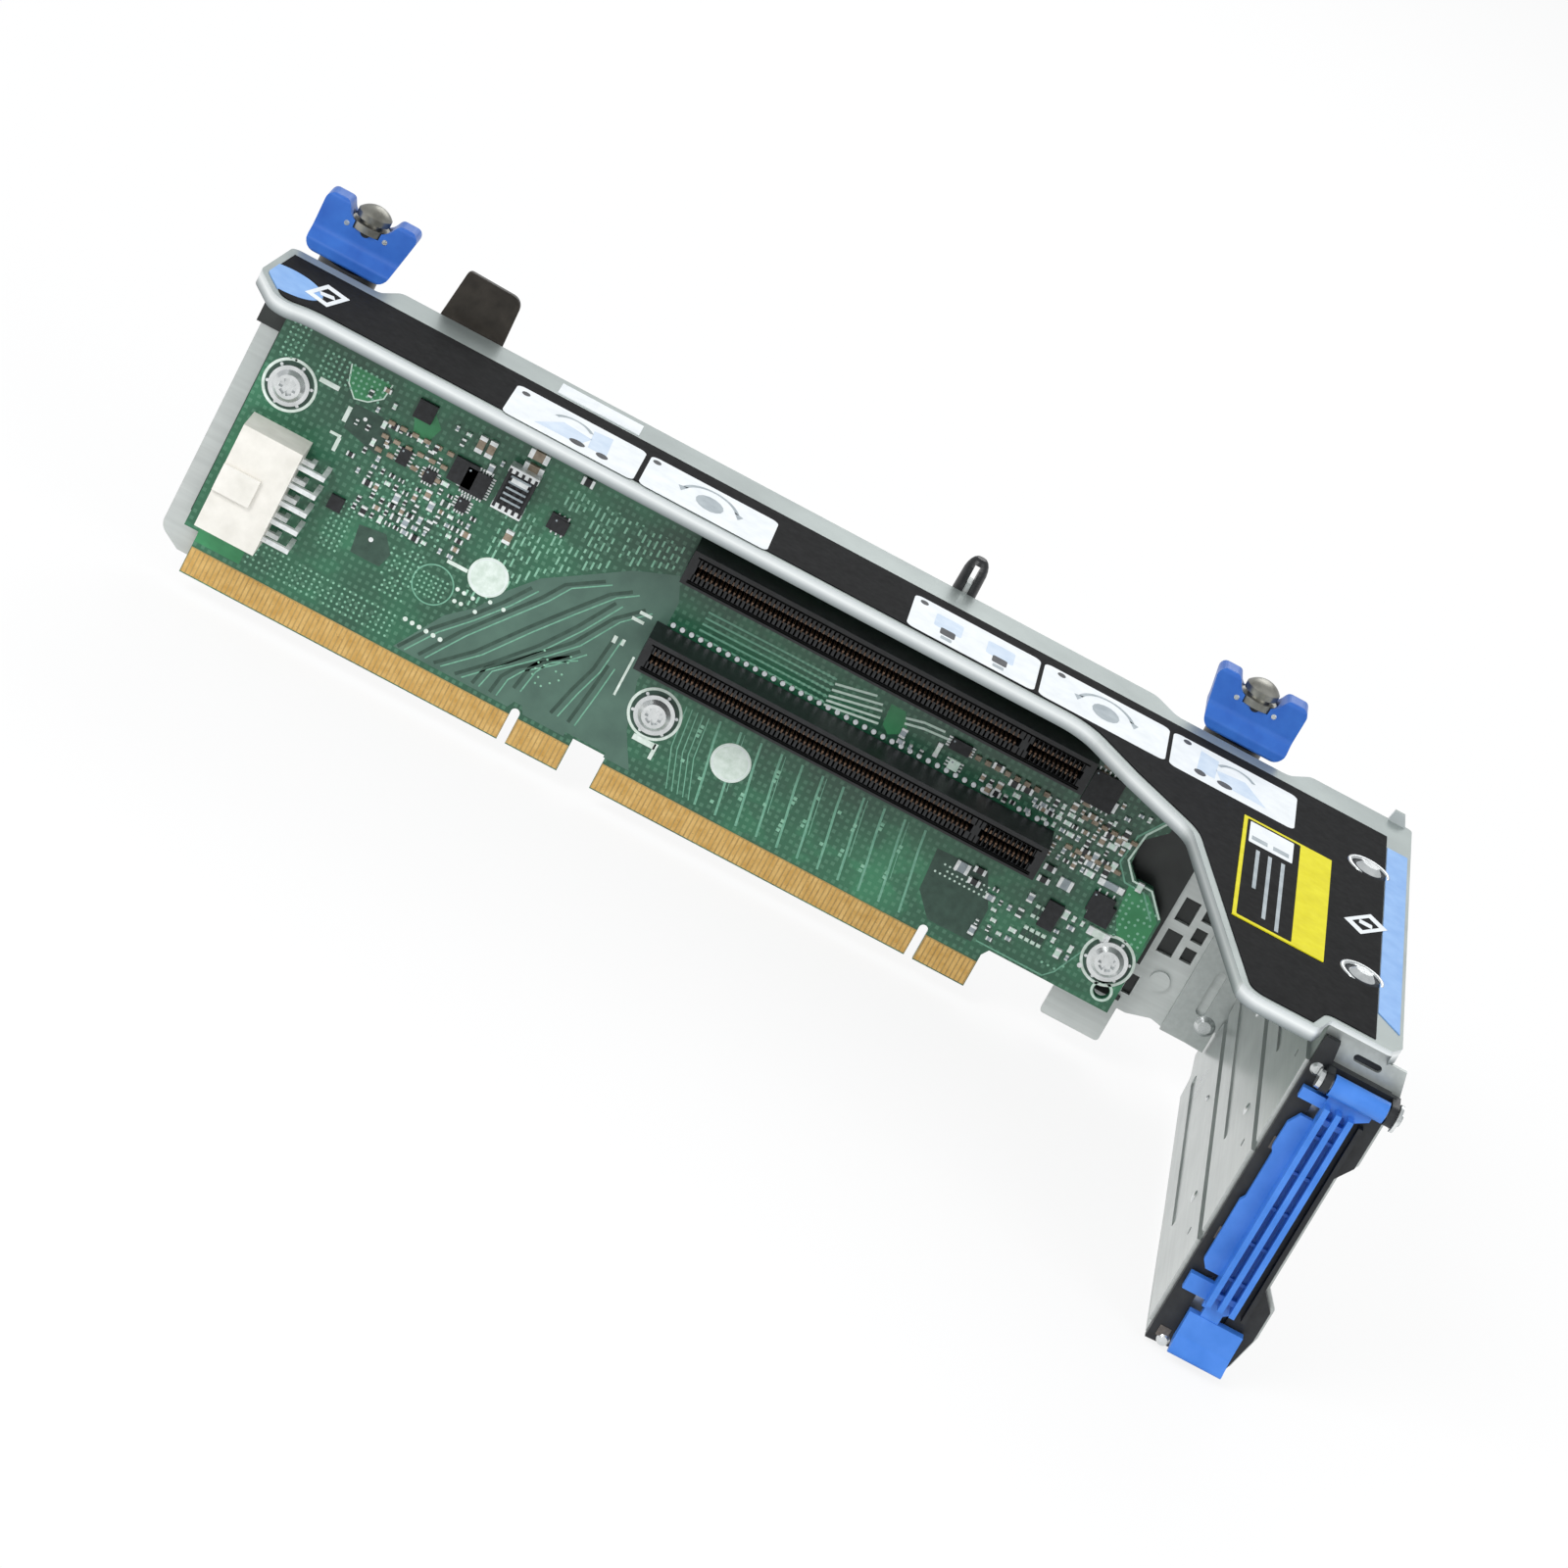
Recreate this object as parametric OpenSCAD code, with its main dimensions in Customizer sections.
// Riser cage: a riser board with two card slots, held in a folded
// steel cage that also carries three rear slot covers, their swinging latch
// and two quarter-turn fasteners.
// X runs along the card edge, Y to the back of the board, Z up.
// The origin is the lower left corner of the right-hand card-edge section,
// on the board's front face.

/* [Sheet metal and clearances] */
// Thickness of the steel sheets
sheet_t = 1; // [0.8:0.1:1.4]
// Gap between parts that move past each other
move_gap = 0.3; // [0.2:0.05:0.4]
// Gap round a part that sits in a pocket or hole
seat_gap = 0.1; // [0.05:0.01:0.15]
// Radial clearance of a shaft that turns in a bore
run_gap = 0.06; // [0.02:0.01:0.09]

/* [Card edge] */
// Length of the long row of one card-edge section
edge_long = 71.35; // [51.35:1:91.35]
// Length of the short row of one card-edge section
edge_short = 11.65; // [9.65:1:13.65]
// Width of the key notch between the two rows
edge_key = 1.9; // [1.7:0.05:2.1]
// Distance between the left ends of the two sections
edge_spacing = 92.3; // [92:0.1:96]
// Height of the notches in the card edge
edge_h = 7.7; // [7:0.1:8.5]
// Height of one contact pad
pad_h = 5.4; // [4.5:0.1:6]
// Width of one contact pad
pad_w = 0.7; // [0.5:0.05:0.8]
// Thickness of the gold plating as modelled
pad_t = 0.08; // [0.05:0.01:0.15]
// Distance from one contact to the next
contact_pitch = 1; // [0.9:0.02:1]

/* [Riser board] */
// Thickness of the riser board
board_t = 1.6; // [1.2:0.1:2]
// Left edge of the board, from the origin
board_left = 95.5; // [94.5:0.5:98]
// Right edge of the board, from the origin
board_right = 112.7; // [111.5:0.1:113.5]
// Top edge of the board above the card edge
board_top = 62; // [60:0.5:64]
// Lower edge of the board beside the card edge
board_step = 9.3; // [8.5:0.1:10]
// Distance from the board to the carrier sheet
standoff_h = 3.4; // [2.5:0.1:4.5]
// Outer diameter of a standoff
standoff_d = 7; // [6:0.1:8]
// Thread diameter of the board screws
screw_d = 3; // [2.5:0.1:3.5]
// Head diameter of the board screws
screw_head_d = 8.4; // [7:0.1:9]
// Head height of the board screws
screw_head_h = 1.7; // [1.2:0.1:2.2]

/* [Card slots] */
// Length of a slot housing
slot_l = 89; // [88:0.5:90]
// Height of a slot housing across the card
slot_w = 7.3; // [7:0.1:8]
// Depth of a slot housing from the board to its mouth
slot_d = 11.25; // [10.5:0.05:12]
// Left end of the slot housings
slot_x = -3.7; // [-6:0.1:-2]
// Card plane of the lower slot
slot_z = 34.4; // [33:0.1:35]
// Distance between the card planes
slot_pitch = 20.32; // [20:0.01:20.6]
// Width of the opening for a card
card_gap = 1.75; // [1.65:0.05:1.9]
// Depth of the opening for a card
card_depth = 8.1; // [7.5:0.1:8.8]
// Number of contacts in the long row of a slot
long_count = 71; // [49:1:71]
// Number of contacts in the short row of a slot
short_count = 11; // [9:1:11]

/* [Power header] */
// Number of pin columns
header_cols = 5; // [3:1:5]
// Distance between the pins
header_pitch = 4.2; // [4:0.1:4.4]
// Length of the housing along X
header_l = 13; // [11:0.5:15]
// Depth of the housing away from the board
header_d = 9.6; // [9.2:0.1:11]
// Wall of the housing
header_wall = 1; // [0.8:0.1:1.2]
// Width of the square pins
header_pin = 1; // [0.8:0.1:1.2]

/* [Board carrier] */
// Left edge of the carrier sheet, from the origin
carrier_left = 100; // [99:0.5:102]
// Lower edge of the carrier sheet
carrier_low = 9; // [8:0.1:9.3]
// Height of the ears that carry the fasteners
ear_z = 61.5; // [58:0.5:62.5]
// Depth of the ears behind the carrier sheet
ear_d = 19; // [17:0.5:21]
// Depth of the flange under the top cover
flange_d = 17; // [12:0.5:19]

/* [Top cover] */
// Top face of the cover above the card edge
cover_z = 68.3; // [68:0.1:70]
// Front edge of the long arm, in front of the board
arm_front = 23; // [21:0.5:25]
// Front edge of the wide end, in front of the board
leg_front = 115; // [112:0.5:118]
// Back edge, behind the board's front face
cover_back = 14.8; // [13:0.1:15]
// Right edge of the cover
cover_right = 148.9; // [148.5:0.1:149.5]
// Height of the folded rim below the cover's top face
rim_h = 3; // [2:0.1:4]
// Corner radius of the outline
cover_r = 5; // [3:0.5:6]

/* [Rear bracket] */
// Inner face of the slot covers
rear_x = 134.4; // [134:0.1:135]
// Lower edge of the rear bracket
rear_low = -3; // [-4:0.1:-2]
// Distance from the board to the ends of the slot covers
rear_front = 105.7; // [104:0.1:107]
// Thickness of a slot cover
blank_t = 0.8; // [0.6:0.05:1]
// Width of a slot cover
blank_w = 18.4; // [17:0.1:19]
// Offset of a slot cover's centre below its card plane
blank_drop = 5.05; // [4.5:0.05:5.5]
// Width of a rear window
window_w = 12; // [10:0.5:13]
// Left edge of the flange that laps the carrier sheet
lap_x = 124; // [122.5:0.5:126]
// Length of the embossed rib in a slot cover
rib_l = 73; // [60:1:80]

/* [Slot latch] */
// Distance of the hinge pin in front of the rear bracket
hinge_out = 4.3; // [4.1:0.1:4.8]
// Height of the hinge pin
hinge_z = 58.3; // [58:0.1:58.5]
// Diameter of the hinge pin
hinge_d = 2.4; // [2:0.1:2.6]
// Length of the latch's knuckle
knuckle_l = 11; // [9:0.5:11.5]
// Left end of the knuckle
knuckle_x = 140.1; // [140:0.1:140.5]
// Thickness of the latch plate
latch_t = 1.8; // [1.4:0.1:2]
// Height of the ridges on the latch
ridge_h = 2.6; // [1.5:0.1:3]
// Lower end of the finger tab
tab_low = -2; // [-2.5:0.1:0]

/* [Fasteners] */
// Distance of the fastener axes behind the board's front face
knob_y = 18; // [17:0.5:19]
// Axis of the left fastener
left_knob_x = -90.2; // [-91:0.1:-89.5]
// Axis of the right fastener
right_knob_x = 109.2; // [108:0.1:110]
// Width of a knob
knob_w = 20.4; // [16:0.2:20.6]
// Height of a knob
knob_h = 12.2; // [10:0.2:14]
// Thickness of a knob's wing
wing_t = 6; // [5:0.2:8]
// Diameter of a knob's base
knob_base_d = 12.6; // [11:0.1:13]
// Height of the bushing below a knob
bushing_h = 6.3; // [5:0.1:7]
// Diameter of the stud
stud_d = 5; // [4:0.1:5.6]
// Length of the stud below its ear
stud_tail = 14; // [12.5:0.5:18]
// Length of the stud's pilot below the cross pin's neck
pilot_l = 6.5; // [4:0.5:7]
// Diameter of the locating pin
locator_d = 5.4; // [4.6:0.1:6]
// Place of the locating pin
locator_x = 47.6; // [40:0.5:60]

/* [Hidden] */
$fn = 48;
eps = 0.01;

// Planes that the parts share
edge_l = edge_long + edge_key + edge_short;
carrier_y = board_t + standoff_h;
carrier_back = carrier_y + sheet_t;
cover_low = cover_z - sheet_t;
flange_low = cover_low - sheet_t;
wall_x = rear_x + blank_t;
wall_out = wall_x + sheet_t;
ear_front = rear_front - blank_t;
shelf_front = ear_front - sheet_t;
frame_t = 1.5;
frame_front = rear_front + frame_t;
hinge_y = rear_front + hinge_out;
knuckle_r = hinge_out - frame_t - 0.7;
lug_t = 1.5;
slot_zs = [slot_z, slot_z + slot_pitch];
blank_z0 = slot_z - blank_drop - slot_pitch;
blank_zs = [for (i = [0:2]) blank_z0 + i * slot_pitch];
blank_ear = 6.9;
screw_spots = [[-89.2, 45.4], [4.6, 20.4], [107.5, 19.2]];
tool_hole = [109.5, 12.9];
knob_z = ear_z + bushing_h + seat_gap;
knob_top = knob_z + knob_h;
bore_d = stud_d + 2 * run_gap;

// ---- Shared shapes -------------------------------------------------------

function unit(v) = v / norm(v);

// Points of one corner: [x, y, radius] between its neighbours a and c
function corner(a, b, c, n = 6) =
    let (r = len(b) > 2 ? b[2] : 0, p = [b[0], b[1]])
    r == 0 ? [p] :
    let (
        u = unit([a[0], a[1]] - p),
        v = unit([c[0], c[1]] - p),
        half = acos(u * v) / 2,
        d = r / tan(half),
        m = p + unit(u + v) * r / sin(half),
        s = p + u * d - m,
        e = p + v * d - m,
        a0 = atan2(s[1], s[0]),
        a1 = atan2(e[1], e[0]),
        turn = a1 - a0 > 180 ? a1 - a0 - 360 : a1 - a0 < -180 ? a1 - a0 + 360 : a1 - a0
    )
    [for (i = [0:n]) m + r * [cos(a0 + turn * i / n), sin(a0 + turn * i / n)]];

// Outline whose corners carry their own radius
function rounded(p) =
    [for (i = [0:len(p) - 1]) each corner(p[(i + len(p) - 1) % len(p)], p[i], p[(i + 1) % len(p)])];

// Closed outline moved inwards by d, for a clockwise outline
function inset(p, d) =
    [for (i = [0:len(p) - 1])
        let (
            n = len(p),
            u = unit(p[i] - p[(i + n - 1) % n]),
            v = unit(p[(i + 1) % n] - p[i]),
            nu = [u[1], -u[0]],
            nv = [v[1], -v[0]],
            m = unit(nu + nv)
        )
        p[i] + m * d / (m * nu)];

// A flat shape drawn in X and Z, standing from y to y + t
module upright(y, t) {
    translate([0, y + t, 0]) rotate([90, 0, 0]) linear_extrude(t) children();
}

// A flat shape drawn in Y and Z, standing from x to x + t
module crosswise(x, t) {
    translate([x, 0, 0]) rotate([90, 0, 90]) linear_extrude(t) children();
}

// A flat shape drawn in X and Y, lying from z to z + t
module lying(z, t) {
    translate([0, 0, z]) linear_extrude(t) children();
}

module box(x, y, z) {
    translate([x[0], y[0], z[0]]) cube([x[1] - x[0], y[1] - y[0], z[1] - z[0]]);
}

module rect(x, y) {
    translate([x[0], y[0]]) square([x[1] - x[0], y[1] - y[0]]);
}

module slot2d(l, w) {
    square([l - w, w], center = true);
    for (s = [-1, 1]) translate([s * (l - w) / 2, 0]) circle(d = w);
}

module along_y(x, z, y, d) {
    translate([x, y[1], z]) rotate([90, 0, 0]) cylinder(d = d, h = y[1] - y[0]);
}

// A low domed head on a short shank, along Z, head up
module rivet(head_d, shank_d, grip) {
    translate([0, 0, -grip]) cylinder(d = shank_d, h = grip + eps);
    cylinder(d1 = head_d, d2 = head_d * 0.6, h = head_d * 0.2);
}

// ---- Riser board ---------------------------------------------------------

// Left ends of the two card-edge sections
edge_xs = [-edge_spacing, 0];

module board_outline() {
    polygon([
        [-board_left, board_step], [-edge_spacing, board_step], [-edge_spacing, 0],
        [edge_l - edge_spacing, 0], [edge_l - edge_spacing, edge_h],
        [0, edge_h], [0, 0], [edge_l, 0], [edge_l, edge_h],
        [edge_l + 1, board_step], [board_right, board_step],
        [board_right, 31.8], [board_right - 4.6, 37], [board_right - 8.2, 37],
        [board_right - 10.9, 39.6], [board_right - 11.2, 45.1],
        [board_right - 7.3, 49], [board_right - 7.3, board_top],
        [-board_left, board_top]
    ]);
}

module key_notches() {
    for (x = edge_xs) translate([x + edge_long, 0]) {
        translate([0, -1]) square([edge_key, edge_h - edge_key / 2 + 1]);
        translate([edge_key / 2, edge_h - edge_key / 2]) circle(d = edge_key);
    }
}

module riser_board() {
    color("#0f5a36") difference() {
        upright(0, board_t) difference() {
            board_outline();
            key_notches();
        }
        for (p = screw_spots) along_y(p[0], p[1], [-1, board_t + 1], screw_d + 0.4);
        along_y(tool_hole[0], tool_hole[1], [-1, board_t + 1], 3.2);
    }
}

// Row of pads, centred between x0 and x0 + l
module pad_row(x0, l) {
    n = floor((l - pad_w) / contact_pitch) + 1;
    first = x0 + (l - (n - 1) * contact_pitch - pad_w) / 2;
    for (i = [0:n - 1]) translate([first + i * contact_pitch, 0.3]) square([pad_w, pad_h]);
}

module edge_contacts() {
    color("#c9963c") for (y = [-pad_t, board_t]) upright(y, pad_t) for (x = edge_xs) {
        pad_row(x, edge_long);
        pad_row(x + edge_long + edge_key, edge_short);
    }
}

// ---- Card slots ----------------------------------------------------------

slot_end = slot_x + slot_l;
mouth_x = slot_x + 1.8;
mouth_end = slot_end - 1.8;
slot_key = 1.6;
pocket_w = 0.62;
pocket_in = 0.85;
pocket_h = 1.5;
short_l = short_count * contact_pitch + 1;
slot_key_x = mouth_end - short_l - slot_key;

// Centres of the contacts of one row, counted from the key outwards
function contact_xs() = concat(
    [for (i = [0:long_count - 1]) slot_key_x - 1 - i * contact_pitch],
    [for (i = [0:short_count - 1]) slot_key_x + slot_key + 1 + i * contact_pitch]
);

module slot_housing(z) {
    color("#16171a") difference() {
        translate([0, 0, z]) union() {
            box([slot_x, slot_end], [-slot_d, -0.8], [-slot_w / 2, slot_w / 2]);
            for (x = [slot_x, slot_end - 3]) box([x, x + 3], [-1, 0], [-slot_w / 2, slot_w / 2]);
        }
        translate([0, 0, z]) upright(-slot_d - 1, card_depth + 1) {
            rect([mouth_x, slot_key_x], [-card_gap / 2, card_gap / 2]);
            rect([slot_key_x + slot_key, mouth_end], [-card_gap / 2, card_gap / 2]);
            for (x = contact_xs()) rect([x - pocket_w / 2, x + pocket_w / 2],
                [-pocket_in - pocket_h, pocket_in + pocket_h]);
        }
    }
}

module slot_contacts(z) {
    blade_w = pocket_w - 0.22;
    color("#b08a4e") translate([0, 0, z]) for (s = [0, 1]) mirror([0, 0, s])
        upright(-slot_d + 0.7, card_depth - 0.7)
            for (x = contact_xs())
                rect([x - blade_w / 2, x + blade_w / 2], [pocket_in - 0.3, pocket_in + 0.5]);
}

// ---- Power header --------------------------------------------------------

header_x = -93;
header_z = 13.7;
header_h = header_cols * header_pitch + 2 * header_wall + 0.4;
header_end = header_x + header_l;
header_floor = header_end - 3;
header_recess = 5.5;
header_rows = [-header_d / 2 - header_pitch / 2, -header_d / 2 + header_pitch / 2];

module power_header() {
    color("#e9e6dd") difference() {
        union() {
            box([header_x, header_end], [-header_d, 0], [header_z, header_z + header_h]);
            box([header_x, header_end - 5], [-header_d - 1, -header_d + eps],
                [header_z + header_h / 2 - 3, header_z + header_h / 2 + 3]);
        }
        box([header_x - 1, header_floor], [-header_d + header_wall, -header_wall],
            [header_z + header_wall, header_z + header_h - header_wall]);
        for (y = header_rows, i = [0:header_cols - 1])
            box([header_floor - 1, header_end + 1], [y - header_pin / 2, y + header_pin / 2],
                [header_pin_z(i) - header_pin / 2, header_pin_z(i) + header_pin / 2]);
    }
}

function header_pin_z(i) = header_z + header_h / 2 + (i - (header_cols - 1) / 2) * header_pitch;

// Right-angle pins: each runs out of the housing and down into the board
module header_pins() {
    color("#c9ccd0") for (r = [0, 1], i = [0:header_cols - 1]) {
        y = header_rows[r];
        z = header_pin_z(i);
        out = header_end + 2.6 + (1 - r) * 3.2;
        box([header_x + header_recess, out], [y - header_pin / 2, y + header_pin / 2],
            [z - header_pin / 2, z + header_pin / 2]);
        box([out - header_pin, out], [y - header_pin / 2, 0],
            [z - header_pin / 2, z + header_pin / 2]);
    }
}

// ---- Fixings of the board ------------------------------------------------

module board_screws() {
    color("#b9bcc0") for (p = screw_spots) {
        along_y(p[0], p[1], [-eps, carrier_back + 1], screw_d - 0.1);
        difference() {
            union() {
                along_y(p[0], p[1], [-screw_head_h * 0.5, 0], screw_head_d);
                translate([p[0], -screw_head_h * 0.5, p[1]]) rotate([90, 0, 0])
                    cylinder(d1 = screw_head_d * 0.8, d2 = screw_head_d * 0.6, h = screw_head_h * 0.5);
            }
            for (a = [0, 60, 120]) translate([p[0], -screw_head_h, p[1]]) rotate([0, a, 0])
                cube([screw_head_d * 0.42, 1.6, screw_head_d * 0.14], center = true);
        }
    }
}

module insulator_sheet() {
    color("#1b1c1f") upright(carrier_y - 0.5, 0.4) difference() {
        polygon([
            [-board_left - 0.5, carrier_low + 2], [board_right + 1.3, carrier_low + 2],
            [board_right + 1.3, ear_z - 1], [-carrier_left - 1, ear_z - 1],
            [-carrier_left - 1, 52.6], [-board_left - 0.5, 52.6]
        ]);
        for (p = screw_spots) translate(p) circle(d = standoff_d + 1);
        translate([board_right + 0.2, 12]) square([3, 8]);
    }
}

// ---- Board carrier -------------------------------------------------------

carrier_right = rear_x - 0.4;
low_tab = [101.2, 114.5];

module carrier_outline() {
    polygon(rounded([
        [-carrier_left, 66, 0], [-carrier_left, carrier_low - 4, 3],
        [-carrier_left + 5, carrier_low - 7, 0], [-edge_spacing - 0.4, carrier_low - 7, 0],
        [-edge_spacing - 0.4, carrier_low, 1], [low_tab[0], carrier_low, 0],
        [low_tab[0], 1, 0.8], [low_tab[1], 1, 0.8], [low_tab[1], carrier_low + 0.3, 0],
        [low_tab[1] + 2, carrier_low + 0.3, 0], [low_tab[1] + 7, carrier_low + 1.8, 2],
        [low_tab[1] + 12, carrier_low + 0.8, 0], [carrier_right, carrier_low + 0.4, 0],
        [carrier_right, 66, 0]
    ]));
}

// Ears: [centre, half width]
ears = [[left_knob_x, 10], [-63.2, 9], [locator_x, 6], [right_knob_x, 10]];

module board_carrier() {
    color("#a9adb0") difference() {
        union() {
            // Sheet behind the board, cut away above the ears
            upright(carrier_y, sheet_t) difference() {
                intersection() {
                    carrier_outline();
                    rect([-carrier_left, carrier_right], [0, cover_low]);
                }
                for (e = ears) rect([e[0] - e[1] - 1, e[0] + e[1] + 1], [ear_z, cover_low + 1]);
                rect([-carrier_left - 1, left_knob_x - 5], [ear_z, cover_low + 1]);
                vent_grid();
            }
            // Flange under the top cover
            lying(flange_low, sheet_t) carrier_flange();
            upright(carrier_y, sheet_t) difference() {
                rect([left_knob_x + 11, carrier_right], [66 - eps, cover_low]);
                for (e = ears) rect([e[0] - e[1] - 1, e[0] + e[1] + 1], [ear_z, cover_low + 1]);
            }
            // Ears folded to the back
            for (e = ears) lying(ear_z - sheet_t, sheet_t) polygon(rounded([
                [e[0] - e[1], carrier_y, 0], [e[0] - e[1], carrier_back + ear_d, 3],
                [e[0] + e[1], carrier_back + ear_d, 3], [e[0] + e[1], carrier_y, 0]
            ]));
            // Standoffs
            for (p = screw_spots) along_y(p[0], p[1], [board_t, carrier_y + eps], standoff_d);
            along_y(119.2, 18.9, [carrier_y - 0.8, carrier_y + eps], 4.2);
        }
        for (p = screw_spots) along_y(p[0], p[1], [0, carrier_back + 1], screw_d);
        for (x = [left_knob_x, right_knob_x]) translate([x, knob_y, ear_z - 2])
            cylinder(d = bore_d + 0.4, h = 4);
        for (x = bracket_rivet_zs) along_y(bracket_rivet_x, x, [0, carrier_back + 1], rivet_hole);
        for (p = flange_rivets) translate([p[0], p[1], flange_low - 1]) cylinder(d = rivet_hole, h = 3);
    }
}

// Forward flange between the left ear and the rear bracket
module carrier_flange() {
    difference() {
        rect([left_knob_x + 11, carrier_right], [carrier_back - flange_d, carrier_back]);
        for (e = ears) rect([e[0] - e[1] - 1, e[0] + e[1] + 1], [carrier_y, carrier_back + 1]);
    }
}

module vent_grid() {
    for (i = [0, 1]) rect([115.4, 118.8], [24.2 + i * 7.6, 29.6 + i * 7.6]);
    for (i = [0:2]) rect([120.3, 122.9], [24.7 + i * 4.7, 27.8 + i * 4.7]);
    rect([113.4, 115.4], [13, 17.5]);
}

// ---- Top cover -----------------------------------------------------------

// Outline seen from above, clockwise
function cover_points() = [
    [-101, 8, 2], [-82, 8, 2], [-78.4, cover_back, 2],
    [91, cover_back, 3], [96, 9, 3], [121.3, 9, 3], [126, cover_back + 0.4, 2],
    [cover_right, cover_back + 0.4, 1], [cover_right, 2 - rear_front, 2],
    [cover_right - 2, -rear_front - 1.8, 1], [wall_out - 1.6, -rear_front - 1.8, 0.8],
    [wall_out - 4, -leg_front, 2], [117.2, -leg_front, cover_r],
    [102.8, -49, cover_r * 2], [89, -arm_front - 12.6, cover_r * 2],
    [78.2, -arm_front, cover_r * 2], [-90, -arm_front, 12],
    [-96.6, -arm_front - 3.4, 4], [-103, -14, 5]
];

function cover_outline() = rounded(cover_points());

// Where the edge is folded down: everywhere in front of the board but the ear
module rim_zone() {
    difference() {
        rect([-200, 300], [-200, 2]);
        rect([wall_out - 2.6, cover_right - 1.6], [-leg_front + 2, -50]);
    }
}

// Rivets that hold the cover to the rear bracket, and to the carrier's flange
cover_spots = [[139.9, -20.4], [139.9, -78.3]];
flange_rivets = [for (x = [-60, 5, 70]) [x, -4]];
rivet_d = 3;
rivet_hole = rivet_d + 2 * seat_gap;

module top_cover() {
    color("#aab0b3") difference() {
        union() {
            lying(cover_low, sheet_t) polygon(cover_outline());
            lying(cover_z - rim_h, rim_h) intersection() {
                difference() {
                    polygon(cover_outline());
                    polygon(inset(cover_outline(), sheet_t));
                }
                rim_zone();
            }
            // Small tab folded up at the back corner
            upright(cover_back + 0.4 - sheet_t, sheet_t) polygon([
                [cover_right - 5.6, cover_low + eps], [cover_right - 5, cover_z + 2.4],
                [cover_right - 2.8, cover_z + 2.4], [cover_right - 1, cover_low + eps]
            ]);
        }
        for (p = concat(cover_spots, flange_rivets)) translate([p[0], p[1], cover_low - 1])
            cylinder(d = rivet_hole, h = 3);
    }
}

// ---- Labels --------------------------------------------------------------

label_t = 0.2;

module cover_label() {
    color("#17191c") lying(cover_z, label_t) difference() {
        intersection() {
            polygon(inset(cover_outline(), 1.6));
            rect([-200, 143.4], [-200, 3.5]);
        }
        translate([-97.5, -13]) circle(r = 7.6);
        for (p = cover_spots) translate(p) circle(d = 8);
    }
}

module side_sticker() {
    color("#e3d62b") lying(cover_z + label_t, label_t) rect([112.8, 131.8], [-82.6, -27.4]);
}

module back_sticker() {
    color("#eceded") lying(cover_z, label_t) rect([-42, -24], [5.2, 11.8]);
}

module touch_point() {
    color("#7ea9dc") lying(cover_z, label_t) intersection() {
        polygon(inset(cover_outline(), 1.4));
        translate([-97.5, -13]) circle(r = 7.4);
    }
}

module touch_strip() {
    color("#7ea9dc") lying(cover_z, label_t) polygon([
        [143.6, -2.8], [cover_right - 0.8, -2.8], [cover_right - 0.8, -98], [143.6, -92.5]
    ]);
}

// ---- Rear bracket --------------------------------------------------------

shelf_top = cover_low;
// Corner of the shelf's ear that stays clear of the cover's rim
rim_low = cover_z - rim_h - 2 * seat_gap;
rim_in = cover_right - sheet_t - 2 * seat_gap;
// Free edge of the shelf in X and Z, from the bottom up; back is how far it is set in
function shelf_edge(back) = [
    [149.2, rear_low + back], [151.9 - back, -1.5], [153.6 - back, 6],
    [153.6 - back, 12.5], [150.7 - back, 16], [150.7 - back, 41.5],
    [152.9 - back, 45]
];
bracket_rivet_x = 131.6;
bracket_rivet_zs = [15, 36, 57];

// The windows reach past both ends of the ribs in the slot covers
module rear_windows() {
    for (z = blank_zs) rect([7.7 - rear_front, 0.5], [z - window_w / 2, z + window_w / 2]);
}

module rear_bracket() {
    color("#b4b9bb") difference() {
        union() {
            // Wall with the rear windows
            crosswise(wall_x, sheet_t) difference() {
                polygon(rounded([
                    [-ear_front, rear_low, 0], [-ear_front, cover_low, 0],
                    [cover_back - 0.2, cover_low, 0], [cover_back - 0.2, 4, 2],
                    [carrier_y - 1, rear_low + 1.5, 2]
                ]));
                rear_windows();
            }
            // Shelf that carries the slot covers' ears and the latch
            upright(-ear_front, sheet_t) polygon(concat(
                [[wall_x, shelf_top], [wall_x, rear_low]], shelf_edge(0),
                [[152.9, 60], [151.6, rim_low], [rim_in, rim_low], [rim_in, shelf_top]]
            ));
            // Flange under the overhang of the cover
            lying(flange_low, sheet_t) rect([wall_x, cover_right - 1.6], [-92, 8]);
            // Flange that laps the carrier sheet, notched for the slot covers' tongues
            upright(carrier_y - sheet_t, sheet_t) difference() {
                rect([lap_x, wall_x + eps], [carrier_low + 1, ear_z - 2]);
                for (z = blank_zs) rect([rear_x - 0.6, wall_x], [z - 5.9, z + 5.9]);
                translate([129.4, 21.7]) rotate(90) slot2d(10.4, 2.2);
            }
        }
        for (z = bracket_rivet_zs) along_y(bracket_rivet_x, z, [0, carrier_back + 1], rivet_hole);
        for (p = cover_spots) translate([p[0], p[1], flange_low - 1]) cylinder(d = rivet_hole, h = 3);
        for (p = frame_spots) along_y(p[0], p[1], [-rear_front, 0], 1.8);
        // Oblong hole in the shelf's ear
        upright(-rear_front, 3) translate([144.6, 63.2]) slot2d(5.6, 1.5);
        crosswise(wall_x - 1, 4) translate([stud_y, stud_z]) circle(d = 2.4);
    }
}

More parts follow.
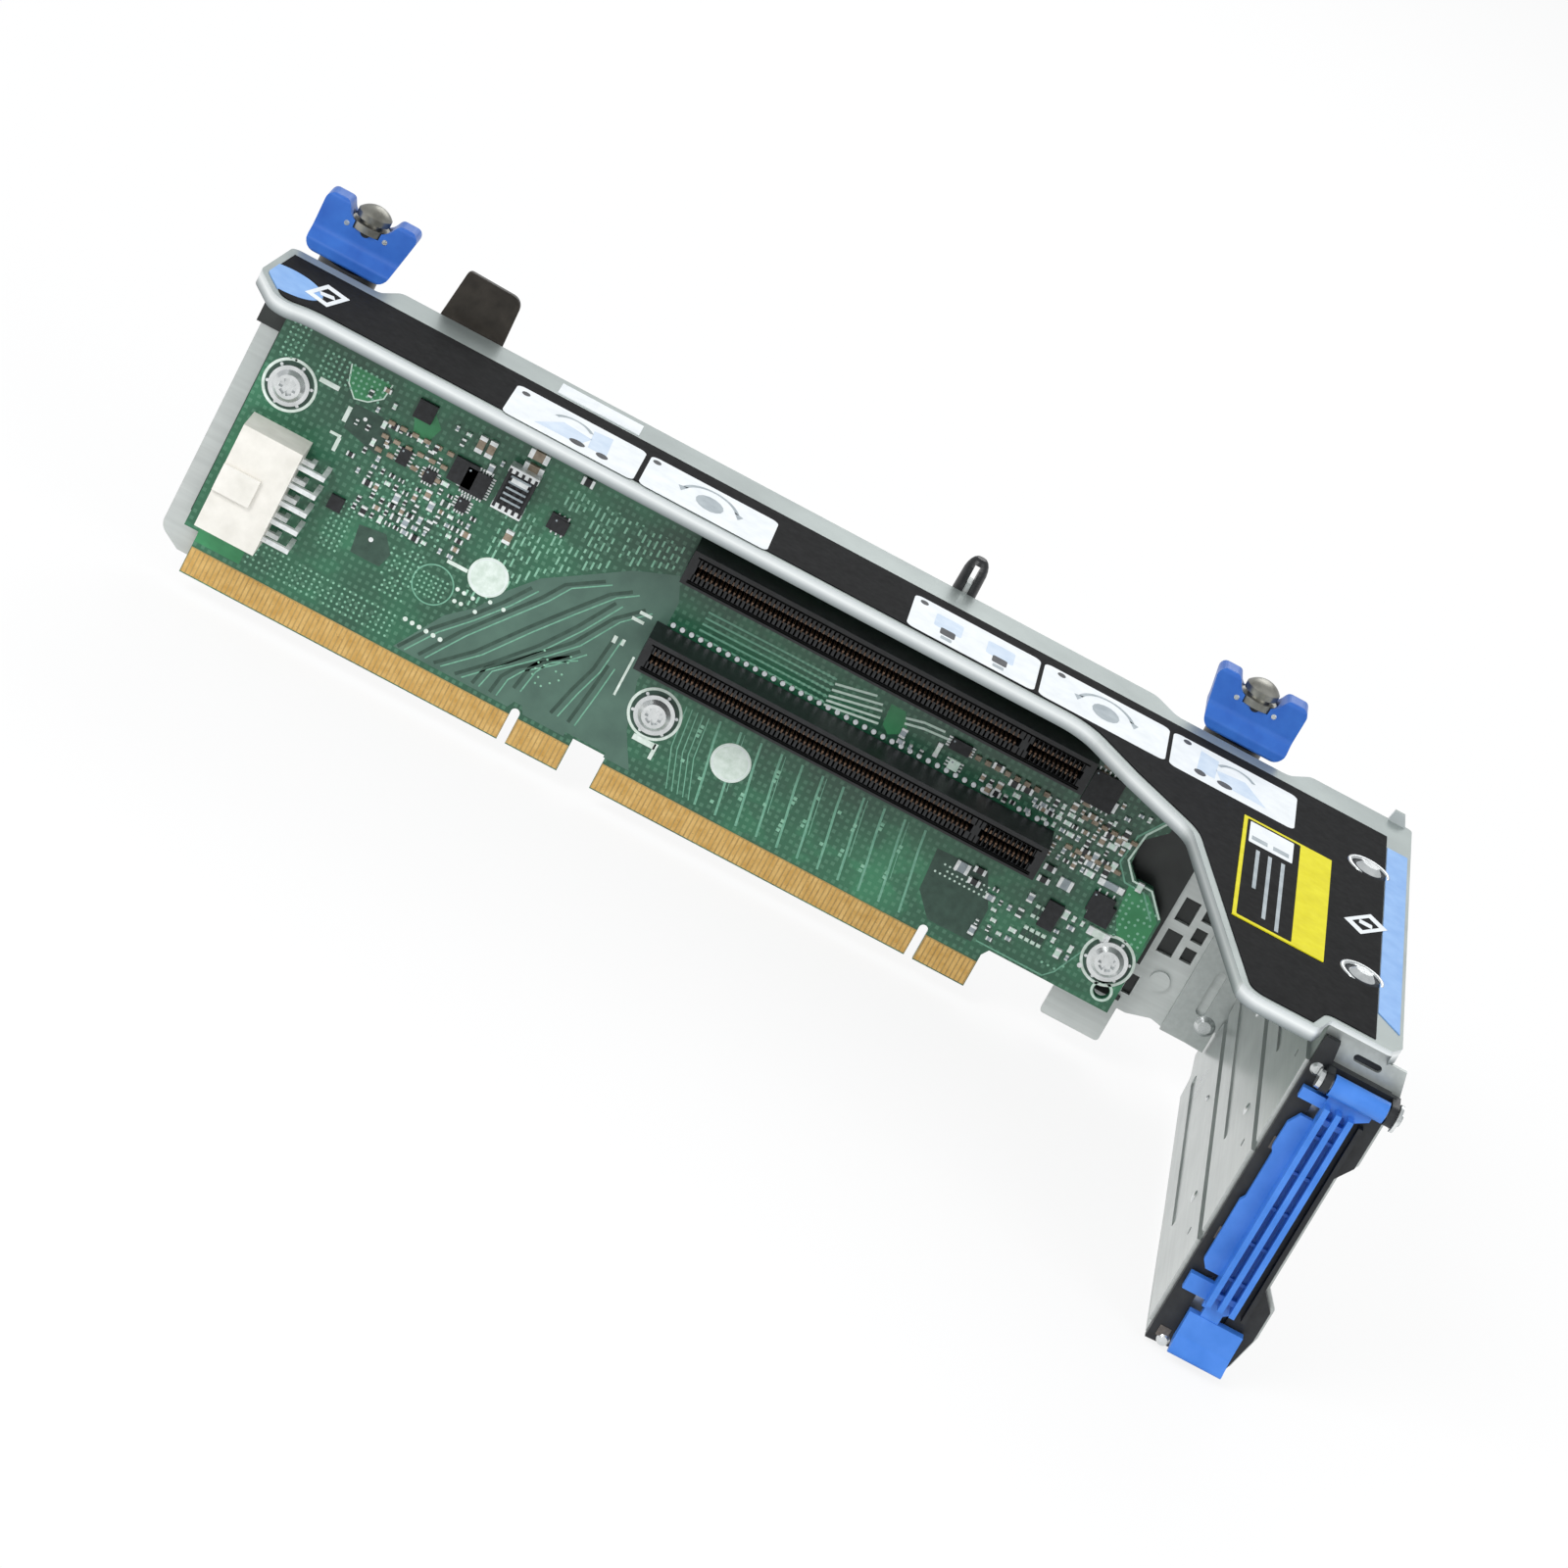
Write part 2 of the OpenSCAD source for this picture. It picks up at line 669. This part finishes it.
module slot_cover(z) {
    body_end = -carrier_y + 2.4;
    color("#bfc4c4") difference() {
        union() {
            crosswise(rear_x, blank_t) polygon([
                [-rear_front, z - blank_w / 2], [-rear_front, z + blank_w / 2],
                [-body_end, z + blank_w / 2], [-body_end + 1.6, z + 5.1],
                [cover_back - 0.5, z + 4.2], [cover_back - 0.5, z - 4.2],
                [-body_end + 1.6, z - 5.1], [-body_end, z - blank_w / 2]
            ]);
            // Ear on the shelf
            upright(-rear_front, blank_t)
                rect([rear_x, rear_x + 11.4], [z - blank_ear, z + blank_ear]);
            // Raised back of the embossed rib
            crosswise(wall_x - eps, 0.4) translate([-rib_l / 2 - 1, z - 3]) slot2d(rib_l, 3.4);
        }
        crosswise(rear_x - 1, 1.4) translate([-rib_l / 2 - 1, z - 3]) slot2d(rib_l, 2.4);
        crosswise(rear_x - 1, 3) translate([-rear_front + 12, z + 5]) circle(d = 1.6);
    }
}

// ---- Latch ---------------------------------------------------------------

// Rivets that hold the latch frame, in X and Z
frame_spots = [[136.9, 58.6], [138.4, -1.9]];
lug_left = knuckle_x - move_gap - lug_t;
lug_right = knuckle_x + knuckle_l + move_gap;

module latch_lug(x) {
    crosswise(x, lug_t) difference() {
        union() {
            polygon([
                [-rear_front - eps, hinge_z - 3.4], [-hinge_y, hinge_z - 2.1],
                [-hinge_y, hinge_z + 2.1], [-rear_front - eps, hinge_z + 2.3]
            ]);
            translate([-hinge_y, hinge_z]) circle(r = 2.1);
        }
        translate([-hinge_y, hinge_z]) circle(d = hinge_d + 2 * seat_gap);
    }
}

module latch_frame() {
    color("#1d1f22") difference() {
        union() {
            upright(-frame_front, frame_t) difference() {
                polygon(concat(
                    [[wall_x, 65], [wall_x, rear_low]], shelf_edge(0.8),
                    [[152.1, hinge_z + 2.3], [138.8, hinge_z + 2.3], [138.2, 65]]
                ));
                // Windows through which the latch presses on the ears
                for (z = blank_zs) rect([139.4, 146.6], [z - 4.6, z + 4.6]);
            }
            // Ribs between the slot covers' ears, down to the shelf
            upright(-rear_front, blank_t - eps) {
                for (i = [0, 1]) rect([wall_out, 147], [blank_zs[i] + 7.2, blank_zs[i + 1] - 7.2]);
                rect([wall_out, 151], [blank_zs[2] + 7.2, hinge_z + 2.3]);
                rect([wall_out, 147], [rear_low, blank_zs[0] - 7.2]);
            }
            // Low wall beside the latch
            upright(-frame_front - 2, 2 + eps) rect([148.6, 149.5], [9, 53]);
            latch_lug(lug_left);
            latch_lug(lug_right);
        }
        for (p = frame_spots) along_y(p[0], p[1], [-frame_front - 1, 0], 1.8);
    }
}

// Back face of the latch plate, in front of the frame
latch_back = -frame_front - 0.5;

module slot_latch() {
    plate_y = latch_back - latch_t;
    color("#2f6fd0") difference() {
        union() {
            // Knuckle and the plate below it
            crosswise(knuckle_x, knuckle_l) translate([-hinge_y, hinge_z]) circle(r = knuckle_r);
            upright(plate_y, latch_t) polygon([
                [140.9, hinge_z - 0.6], [140.9, 8.5], [141.6, 8.5], [141.6, 5], [145.2, 5],
                [145.2, 8.5], [147.2, 10], [147.2, 53.5], [149.6, 55], [149.6, hinge_z - 0.6]
            ]);
            // Ridges
            for (x = [141.5, 143.9, 146.3]) upright(plate_y - ridge_h, ridge_h + eps)
                rect([x - 0.55, x + 0.55], [10, 54.4]);
            // Side flap that holds the slot covers
            upright(latch_back - 1.2, 1.2) polygon([
                [141, 15.1], [138, 15.1], [136.9, 16.6], [136.9, 30], [137.5, 31], [137.5, 41],
                [136.9, 42], [137, 47.5], [138.4, 50], [141, 50]
            ]);
            // Stop ears
            for (z = [[53, 55.2], [9.8, 13.3]]) upright(latch_back - 1.6, 1.6)
                rect([136.1, 141], z);
            // Finger tab, curved away from the frame
            crosswise(139.5, 11) polygon(rounded([
                [latch_back, 6.6, 0], [latch_back, tab_low + 2, 1], [latch_back - 2.8, tab_low, 0.6],
                [latch_back - 4.2, tab_low, 0.6], [latch_back - 2.4, tab_low + 3.6, 1.5],
                [plate_y - 0.2, 6.6, 0]
            ]));
        }
        crosswise(knuckle_x - 1, knuckle_l + 2) translate([-hinge_y, hinge_z])
            circle(d = hinge_d + 2 * run_gap);
    }
}

module latch_pin() {
    color("#c3c7ca") {
        crosswise(lug_left - 0.3, lug_right + lug_t - lug_left + 1.6)
            translate([-hinge_y, hinge_z]) circle(d = hinge_d);
        crosswise(lug_left - 1, 0.9) translate([-hinge_y, hinge_z]) circle(d = hinge_d + 1.2);
    }
}

module latch_clip() {
    color("#d4d7d9") crosswise(lug_right + lug_t + seat_gap, 0.6) translate([-hinge_y, hinge_z])
        difference() {
            circle(d = hinge_d + 3);
            circle(d = hinge_d + 2 * seat_gap);
            translate([-0.6, -4]) square([1.2, 4]);
        }
}

// ---- Rivets and rear stud ------------------------------------------------

module cover_rivets() {
    color("#c4c8ca") {
        for (p = cover_spots) translate([p[0], p[1], cover_z]) rivet(5.6, rivet_d, 2 * sheet_t + 0.3);
        for (p = flange_rivets) translate([p[0], p[1], flange_low]) {
            cylinder(d = rivet_d, h = 2 * sheet_t);
            translate([0, 0, -0.8]) cylinder(d1 = 3.6, d2 = 5.4, h = 0.8);
        }
    }
}

module bracket_rivets() {
    color("#b9bdbf") for (z = bracket_rivet_zs)
        translate([bracket_rivet_x, carrier_y - sheet_t, z]) rotate([90, 0, 0])
            rivet(4.4, rivet_d, 2 * sheet_t + 0.3);
}

module frame_rivets() {
    color("#c9cccd") for (p = frame_spots) translate([p[0], -frame_front, p[1]])
        rotate([90, 0, 0]) rivet(2.6, 1.6, frame_t + blank_t + sheet_t);
}

stud_y = 12.4;
stud_z = 64.9;

module rear_stud() {
    color("#2a2b2d") {
        crosswise(wall_x, 14.4) translate([stud_y, stud_z]) circle(d = 2.2);
        crosswise(wall_out + 10, 2.4) translate([stud_y, stud_z]) circle(d = 3.2);
    }
}

// ---- Quarter-turn fasteners ----------------------------------------------

// Front outline of a knob: two horns round a notch, one side sloped
module knob_front() {
    half = knob_w / 2;
    polygon(rounded([
        [-half + 0.3, 0, 3], [-half, knob_h, 1.8], [-half + 4.8, knob_h, 1.6],
        [-half + 6.4, knob_h - 3.2, 2.4], [half - 6.4, knob_h - 3.2, 2.4],
        [half - 4.8, knob_h, 1.6], [half, knob_h, 1.8], [half - 2.4, 0, 3]
    ]));
}

// Side outline of a knob: a thin wing that flares to its base
module knob_side() {
    foot = knob_base_d / 2 - 0.4;
    polygon(rounded([
        [-foot, 0, 0.8], [-foot, 2.4, 1], [-wing_t / 2 - 0.4, 4.6, 2], [-wing_t / 2, knob_h, 1],
        [wing_t / 2, knob_h, 1], [wing_t / 2 + 0.4, 4.6, 2], [foot, 2.4, 1], [foot, 0, 0.8]
    ]));
}

module knob(side) {
    color("#2f63b8") translate([0, knob_y, knob_z]) mirror([side < 0 ? 0 : 1, 0, 0]) difference() {
        intersection() {
            upright(-20, 40) knob_front();
            crosswise(-20, 40) knob_side();
        }
        translate([0, 0, -1]) cylinder(d = stud_d + 2 * seat_gap, h = knob_h + 2);
        // Seat of the stud's collar
        translate([0, 0, knob_h - 4.6]) cylinder(d = 8.6, h = 6);
    }
}

stud_low = ear_z - sheet_t - stud_tail;
pilot_tip = 0.8;
neck_l = 4;

module stud() {
    color("#9b9a94") translate([0, knob_y, 0]) {
        // Pilot with a chamfered end, and the neck that the cross pin goes through
        translate([0, 0, stud_low]) {
            cylinder(d1 = stud_d - 1.6, d2 = stud_d, h = pilot_tip);
            translate([0, 0, pilot_tip]) cylinder(d = stud_d, h = pilot_l - pilot_tip);
            translate([0, 0, pilot_l - eps]) cylinder(d = stud_d - 0.8, h = neck_l + 2 * eps);
        }
        // Shank through the ear, the bushing and the knob
        translate([0, 0, stud_low + pilot_l + neck_l])
            cylinder(d = stud_d, h = knob_top - 2 - stud_low - pilot_l - neck_l);
        // Collar and domed head
        translate([0, 0, knob_top - 4.5]) cylinder(d = 8, h = 1.5);
        translate([0, 0, knob_top - 2.2]) intersection() {
            translate([0, 0, -1.6]) sphere(r = 4.6);
            cylinder(d = 7.2, h = 4);
        }
        // Cross pin that turns under the catch in the chassis
        translate([-4.4, 0, stud_low + pilot_l + neck_l / 2]) rotate([0, 90, 0])
            cylinder(d = 2, h = 8.8);
    }
}

module bushing() {
    color("#141518") translate([0, knob_y, ear_z]) difference() {
        union() {
            cylinder(d = knob_base_d, h = bushing_h);
            cylinder(d = knob_base_d + 1.2, h = 1.2);
        }
        translate([0, 0, -1]) cylinder(d = bore_d, h = bushing_h + 2);
    }
}

// ---- Locating pin and lift tab -------------------------------------------

locator_y = carrier_back + 12;
locator_h = 14;
locator_slot = 1.3;

// Split plastic pin with a pointed nose
module locating_pin() {
    r = locator_d / 2;
    color("#17181b") translate([locator_x, locator_y, ear_z]) difference() {
        rotate_extrude() polygon(concat(
            [[0, 0], [r + 0.9, 0], [r + 0.9, 1.4], [r, 1.4], [r - 0.2, locator_h * 0.7]],
            [for (i = [1:6]) [r * cos(i * 13) - 0.2 * (1 - i / 6), locator_h * (0.7 + 0.3 * sin(i * 15))]],
            [[0, locator_h]]
        ));
        box([-locator_slot / 2, locator_slot / 2], [-10, 10], [-1, locator_h - 1.4]);
    }
}

module locating_core() {
    w = locator_slot / 2 - seat_gap;
    color("#a9adb0") translate([locator_x, locator_y, ear_z])
        box([-w, w], [-2, 2], [0, locator_h * 0.62]);
}

// Black plastic tab standing on its ear
module lift_tab() {
    x = ears[1][0];
    color("#1e1c19") {
        upright(locator_y, 1.2) polygon(rounded([
            [x - 7.6, ear_z, 0], [x - 5.6, 78, 1], [x + 6.6, 77.6, 2.4], [x + 7.2, ear_z, 0]
        ]));
        box([x - 7.6, x + 7.2], [locator_y - 6, locator_y + 0.1], [ear_z, ear_z + 1.4]);
    }
}

// ---- Parts on the board --------------------------------------------------

module power_inductor() {
    color("#2a2a2c") {
        box([-43.2, -37], [-3.4, -0.2], [44, 53.4]);
        for (i = [0:4]) box([-43.2 + i * 1.4, -42.6 + i * 1.4], [-3.8, -3.3], [44.4, 53]);
    }
}

module board_chips() {
    color("#202225") {
        for (c = [[-51, 46.5, 5.2, 5.2], [-30.2, 46.4, 3.4, 3.4], [101.4, 27.5, 5, 4.6],
            [-63, 54, 4, 4], [93, 22.2, 3.4, 6], [-70.6, 28.4, 3, 3]])
            box([c[0] - c[2] / 2, c[0] + c[2] / 2], [-1, 0], [c[1] - c[3] / 2, c[1] + c[3] / 2]);
    }
}

// Rows of capacitors and resistors
module small_parts() {
    color("#9a7f58") {
        for (i = [0:5]) box([88.6 + i * 2.2, 90 + i * 2.2], [-0.8, 0], [43.4, 44.2]);
        for (i = [0:5]) box([88.6 + i * 2.2, 90 + i * 2.2], [-0.8, 0], [36.4, 37.2]);
        for (i = [0:7]) box([87.4, 89], [-0.8, 0], [46 + i * 1.8, 46.9 + i * 1.8]);
        for (i = [0:9]) box([60 + i * 2.2, 61.2 + i * 2.2], [-0.8, 0], [43.8, 44.8]);
        for (i = [0:5], j = [0:2]) box([-68.6 + i * 2.6, -67.2 + i * 2.6], [-0.7, 0],
            [42 + j * 3.1, 42.8 + j * 3.1]);
    }
}

riser_board();
edge_contacts();
slot_housing(slot_zs[0]);  // slot_housing_lower
slot_housing(slot_zs[1]);  // slot_housing_upper
slot_contacts(slot_zs[0]);  // slot_contacts_lower
slot_contacts(slot_zs[1]);  // slot_contacts_upper
power_header();
header_pins();
board_screws();
insulator_sheet();
board_carrier();
top_cover();
cover_label();
side_sticker();
back_sticker();
touch_point();
touch_strip();
rear_bracket();
slot_cover(blank_zs[0]);  // slot_cover_1
slot_cover(blank_zs[1]);  // slot_cover_2
slot_cover(blank_zs[2]);  // slot_cover_3
latch_frame();
slot_latch();
latch_pin();
latch_clip();
cover_rivets();
bracket_rivets();
frame_rivets();
rear_stud();
translate([left_knob_x, 0, 0]) knob(-1);  // left_knob
translate([right_knob_x, 0, 0]) knob(1);  // right_knob
translate([left_knob_x, 0, 0]) stud();  // left_stud
translate([right_knob_x, 0, 0]) stud();  // right_stud
translate([left_knob_x, 0, 0]) bushing();  // left_bushing
translate([right_knob_x, 0, 0]) bushing();  // right_bushing
locating_pin();
locating_core();
lift_tab();
power_inductor();
board_chips();
small_parts();
